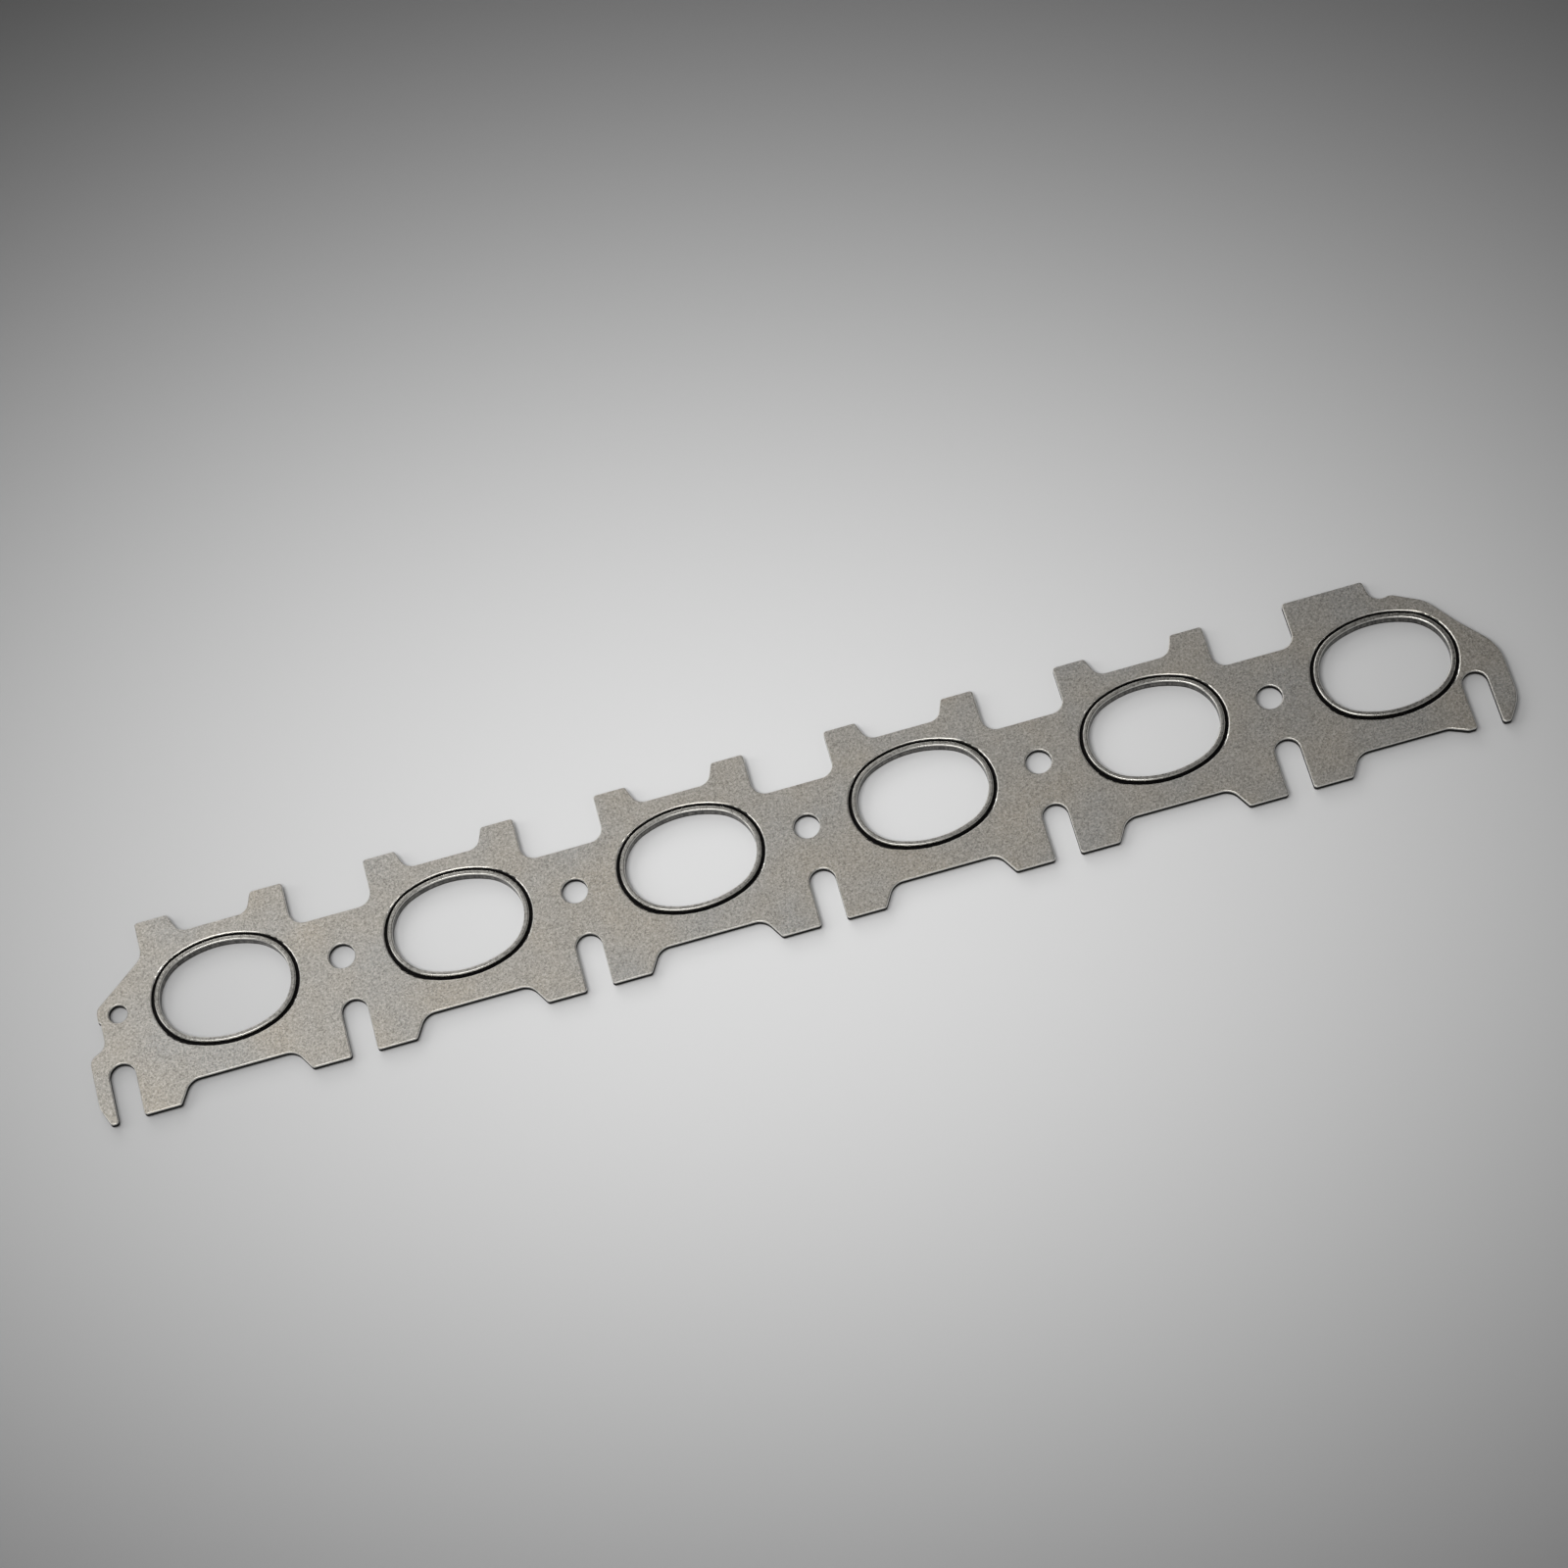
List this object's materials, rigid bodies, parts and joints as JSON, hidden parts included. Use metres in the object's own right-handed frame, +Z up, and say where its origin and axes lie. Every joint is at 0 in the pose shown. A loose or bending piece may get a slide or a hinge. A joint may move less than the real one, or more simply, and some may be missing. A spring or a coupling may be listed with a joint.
{
  "type": "exhaust manifold gasket",
  "caption": "Flat metal gasket with a row of oval ports, each edged by a raised ring, with stud holes between them, open slots along one edge and tabs along the other.",
  "frame": {"origin": "under the middle of the outline, on the surface the gasket lies on", "axes": "+X along the row of ports, +Y towards the edge with the paired tabs, +Z up through the gasket's thickness"},
  "size_m": [0.5544, 0.0782, 0.0046],
  "materials": {
    "plate_steel": "satin, fine mottled grain",
    "ring_steel": "satin, slightly brighter than the plate"
  },
  "bodies": {
    "root": {"gasket_plate": "plate_steel", "port_ring_1": "ring_steel", "port_ring_2": "ring_steel", "port_ring_3": "ring_steel", "port_ring_4": "ring_steel", "port_ring_5": "ring_steel", "port_ring_6": "ring_steel"}
  },
  "joints": []
}
